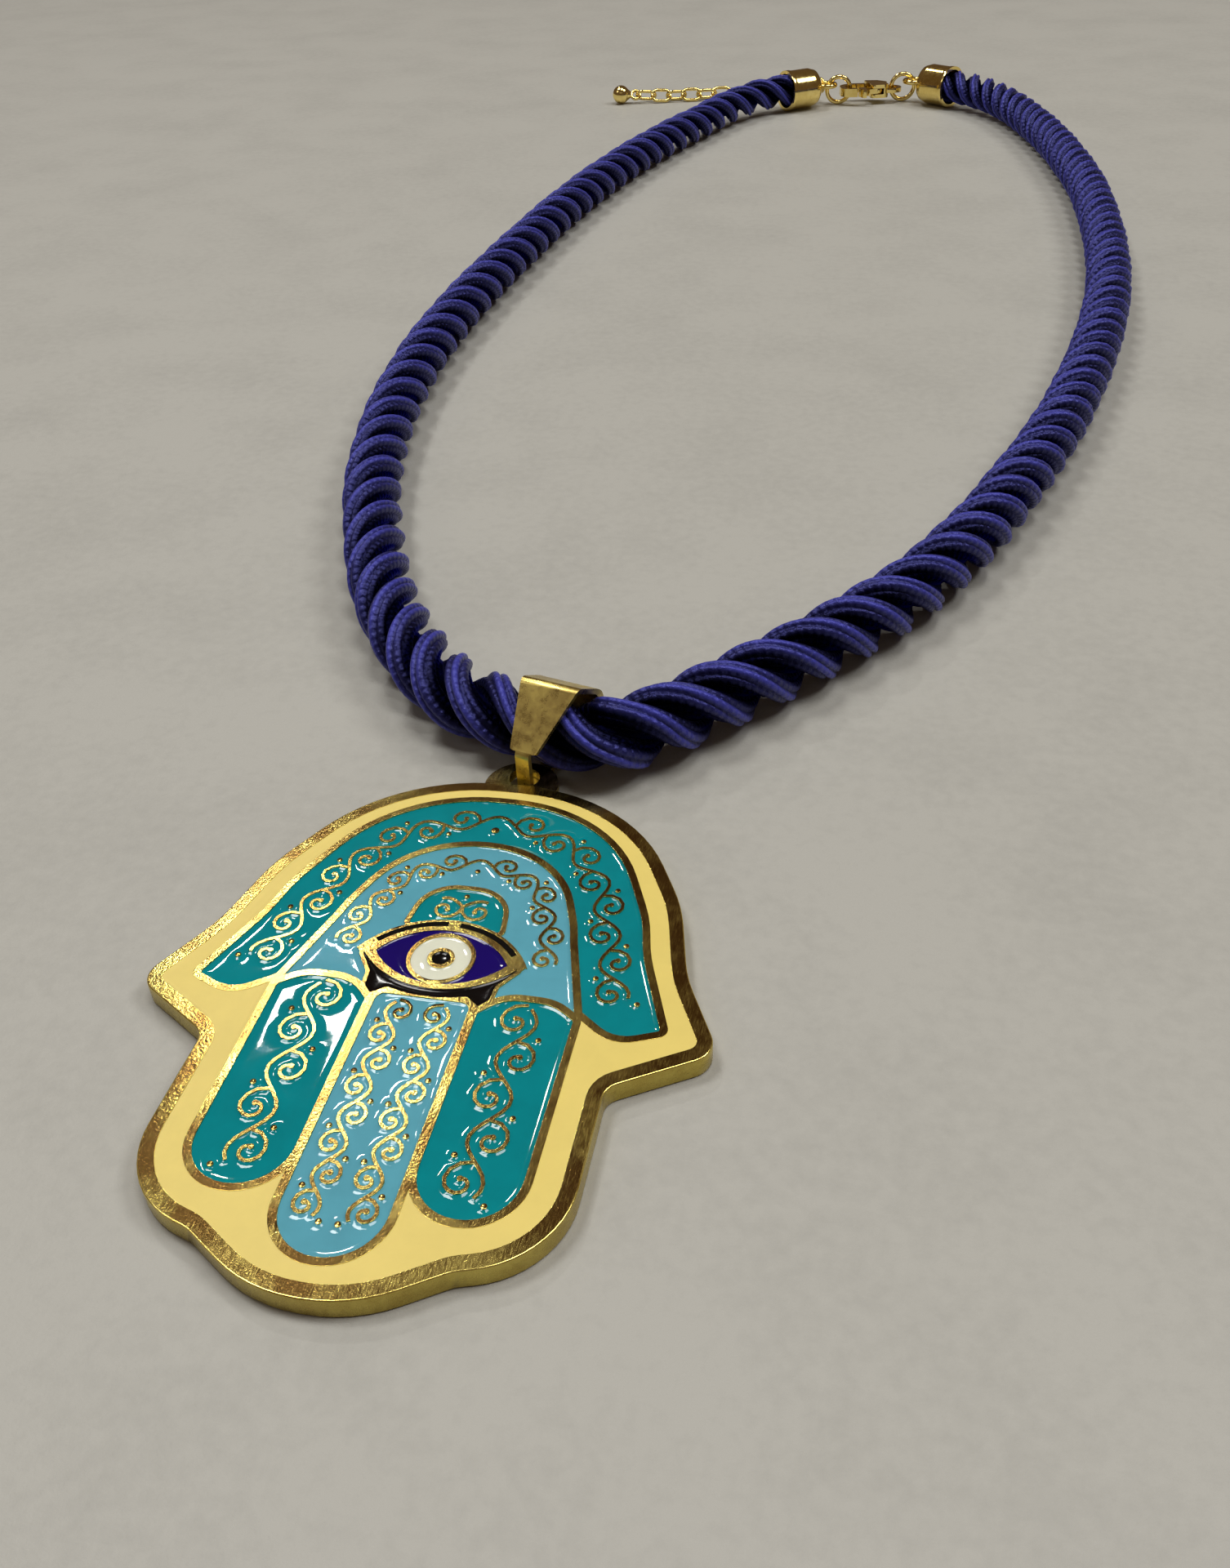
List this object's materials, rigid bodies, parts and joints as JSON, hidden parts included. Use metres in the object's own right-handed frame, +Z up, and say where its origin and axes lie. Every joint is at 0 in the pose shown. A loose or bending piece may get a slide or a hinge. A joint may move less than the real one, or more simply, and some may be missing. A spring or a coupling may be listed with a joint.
{
  "type": "hamsa pendant on a rope necklace",
  "caption": "Enamelled metal hand pendant with an eye, hung by a flat bail on a thick twisted rope that ends in metal caps with a lever clasp and an extension chain.",
  "frame": {"origin": "under the middle of the eye, on the flat back of the hand plate", "axes": "+Z up out of the enamelled face, +Y from the fingers towards the bail and the clasp, +X to the right across the hand"},
  "size_m": [0.0932, 0.2785, 0.0079],
  "materials": {
    "gold_plate": "polished gold plate with a brushed rim",
    "gold_bail": "polished gold plate",
    "gold_clasp": "polished gold plate",
    "border_enamel": "pale gold enamel",
    "teal_enamel": "glossy teal enamel",
    "sky_enamel": "glossy light blue enamel",
    "cobalt_enamel": "glossy cobalt enamel",
    "white_enamel": "glossy off-white enamel",
    "black_enamel": "glossy black enamel",
    "rope_satin": "satin cord, midnight blue"
  },
  "bodies": {
    "necklace": {"hand_plate": "gold_plate", "border_enamel": "border_enamel", "outer_arch_enamel": "teal_enamel", "inner_arch_enamel": "sky_enamel", "brow_enamel": "teal_enamel", "left_finger_enamel": "teal_enamel", "middle_finger_enamel": "sky_enamel", "right_finger_enamel": "teal_enamel", "left_eye_enamel": "cobalt_enamel", "right_eye_enamel": "cobalt_enamel", "iris_enamel": "white_enamel", "pupil_enamel": "black_enamel", "left_lid_enamel": "black_enamel", "right_lid_enamel": "black_enamel", "lower_lid_enamel": "black_enamel", "bail": "gold_bail", "rope": "rope_satin", "left_cap": "gold_clasp", "right_cap": "gold_clasp", "left_ring": "gold_clasp", "right_ring": "gold_clasp", "clasp_body": "gold_clasp", "link_1": "gold_clasp", "link_2": "gold_clasp", "link_3": "gold_clasp", "link_4": "gold_clasp", "link_5": "gold_clasp", "link_6": "gold_clasp", "link_7": "gold_clasp", "link_8": "gold_clasp", "link_9": "gold_clasp", "link_10": "gold_clasp", "link_11": "gold_clasp", "link_12": "gold_clasp", "link_13": "gold_clasp", "chain_drop": "gold_clasp"},
    "lever": {"clasp_lever": "gold_clasp"}
  },
  "joints": [
    {"name": "clasp_lever_pivot", "type": "hinge", "parent": "necklace", "child": "lever", "pos_m": [0.01349, 0.24851, 0.0024], "axis": [0, 0, -1], "range_deg": [0, 25], "stiffness_Nm_per_rad": 0.0005, "springref_deg": -11.46}
  ]
}
